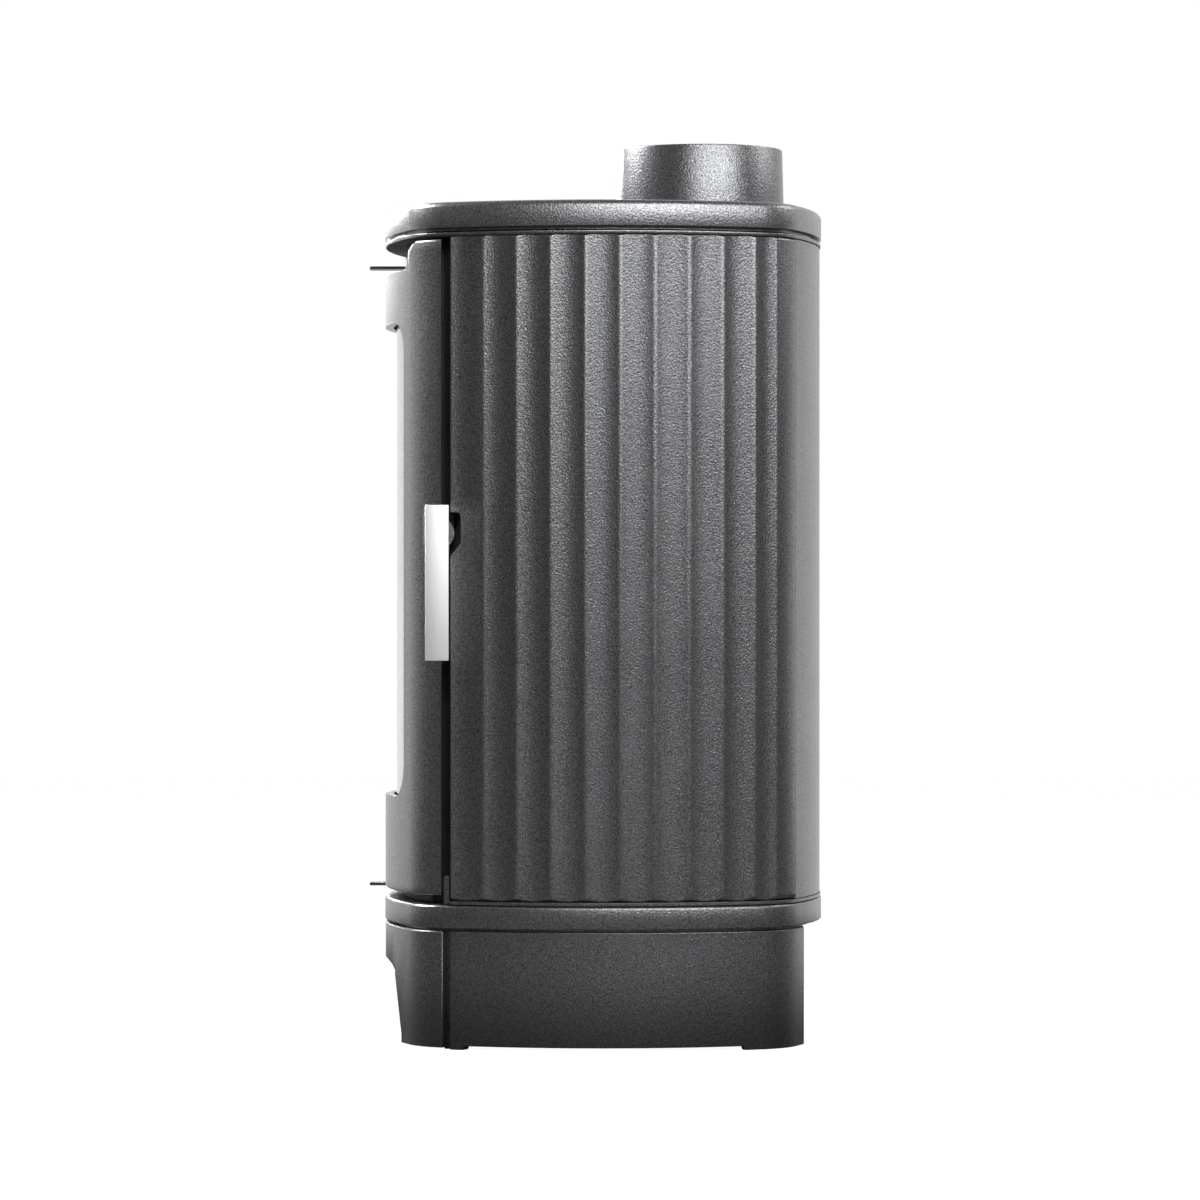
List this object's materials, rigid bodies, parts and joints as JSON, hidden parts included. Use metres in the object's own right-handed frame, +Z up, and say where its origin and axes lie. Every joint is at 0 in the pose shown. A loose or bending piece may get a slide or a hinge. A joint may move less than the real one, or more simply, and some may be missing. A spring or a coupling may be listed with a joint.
{
  "type": "wood stove",
  "caption": "Bow-sided cast iron stove on a plinth: fluted side panels, wrap-round glass door, bar handle, air slides, brick-lined firebox and a top flue collar",
  "frame": {"origin": "middle of the overall footprint, on the floor", "axes": "+Z up; the door and glass face -Y; the door's hinge is on the -X side and its handle on the +X side; the flue collar stands towards +Y"},
  "size_m": [0.4, 0.401, 0.778],
  "materials": {
    "cast_iron": "satin dark grey stove paint on fine-grained castings",
    "steel": "plain rolled mild steel, dulled",
    "bright_steel": "satin stainless bar",
    "fire_glass": "clear ceramic fire glass",
    "firebrick": "matt pale brown refractory",
    "glass_rope": "matt braided glass-fibre rope and tape"
  },
  "bodies": {
    "stove": {"top_plate": "cast_iron", "top_frame": "cast_iron", "flue_collar": "cast_iron", "side_panel_right": "cast_iron", "side_panel_left": "cast_iron", "rear_panel": "cast_iron", "panel_strip": "cast_iron", "base_plate": "cast_iron", "plinth": "cast_iron", "front_apron": "cast_iron", "front_frame": "cast_iron", "door_rest": "cast_iron", "hearth_plate": "cast_iron", "grate": "cast_iron", "log_guard": "cast_iron", "hinge_pin_upper": "steel", "hinge_pin_lower": "steel", "airwash_shelf": "steel", "primary_valve_plate": "steel", "ash_rail_right": "steel", "ash_rail_left": "steel", "ash_pan": "steel", "ash_pan_handle": "steel", "latch_keeper": "steel", "firebrick_right": "firebrick", "firebrick_left": "firebrick", "firebrick_rear": "firebrick", "baffle": "firebrick"},
    "door": {"door_casting": "cast_iron", "door_glass": "fire_glass", "glass_gasket": "glass_rope", "glass_clip_upper": "steel", "glass_clip_lower": "steel", "rope_seal": "glass_rope"},
    "latch": {"latch_spindle": "steel", "door_handle": "bright_steel", "latch_cam": "steel"},
    "airwash_control": {"airwash_slide": "steel"},
    "primary_air_control": {"primary_air_slide": "steel"}
  },
  "joints": [
    {"name": "door_swing", "type": "hinge", "parent": "stove", "child": "door", "pos_m": [-0.155, -0.13687, 0.41], "axis": [0, 0, -1], "range_deg": [0, 110]},
    {"name": "latch_turn", "type": "hinge", "parent": "door", "child": "latch", "pos_m": [0.165, -0.1308, 0.4384], "axis": [-1, 0, 0], "range_deg": [0, 50]},
    {"name": "airwash_move", "type": "slide", "parent": "stove", "child": "airwash_control", "axis": [1, 0, 0], "range_m": [-0.02, 0.02]},
    {"name": "primary_air_move", "type": "slide", "parent": "stove", "child": "primary_air_control", "axis": [1, 0, 0], "range_m": [-0.02, 0.02]}
  ]
}
